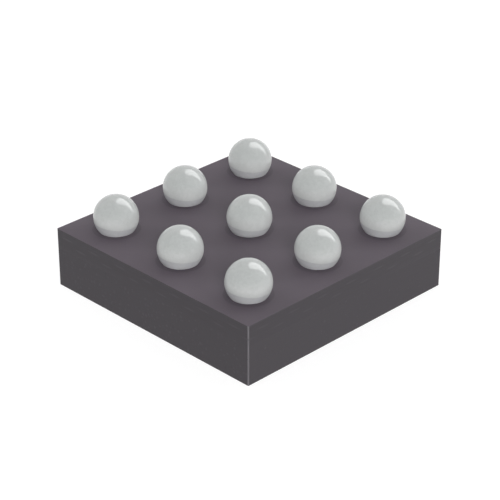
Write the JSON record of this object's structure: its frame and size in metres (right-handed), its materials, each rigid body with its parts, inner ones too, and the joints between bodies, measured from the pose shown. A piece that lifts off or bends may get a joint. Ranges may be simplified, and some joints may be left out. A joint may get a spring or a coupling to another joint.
{
  "type": "ball grid array chip package",
  "caption": "Square moulded chip package on a laminate, lying on its mould face with a square grid of solder balls on top.",
  "frame": {"origin": "centre of the flat mould face that the package lies on", "axes": "+Z from the mould face to the solder balls; X and Y along the sides of the square body; corner A1 is at +X +Y"},
  "size_m": [0.0028, 0.0028, 0.0011],
  "materials": {
    "mould_compound": "matte",
    "solder_mask": "satin",
    "laminate": "matte",
    "solder": "satin",
    "copper": "satin",
    "gold": "polished",
    "silicon": "polished",
    "die_attach_paste": "satin"
  },
  "bodies": {
    "root": {"mould_cap": "mould_compound", "die": "silicon", "die_attach": "die_attach_paste", "inner_solder_mask": "solder_mask", "laminate_core": "laminate", "ball_side_solder_mask": "solder_mask", "conductor_a1": "copper", "conductor_a2": "copper", "conductor_a3": "copper", "conductor_b1": "copper", "conductor_b2": "copper", "conductor_b3": "copper", "conductor_c1": "copper", "conductor_c2": "copper", "conductor_c3": "copper", "bond_wire_a1": "gold", "bond_wire_a2": "gold", "bond_wire_a3": "gold", "bond_wire_b1": "gold", "bond_wire_b2": "gold", "bond_wire_b3": "gold", "bond_wire_c1": "gold", "bond_wire_c2": "gold", "bond_wire_c3": "gold", "solder_ball_a1": "solder", "solder_ball_a2": "solder", "solder_ball_a3": "solder", "solder_ball_b1": "solder", "solder_ball_b2": "solder", "solder_ball_b3": "solder", "solder_ball_c1": "solder", "solder_ball_c2": "solder", "solder_ball_c3": "solder"}
  },
  "joints": []
}
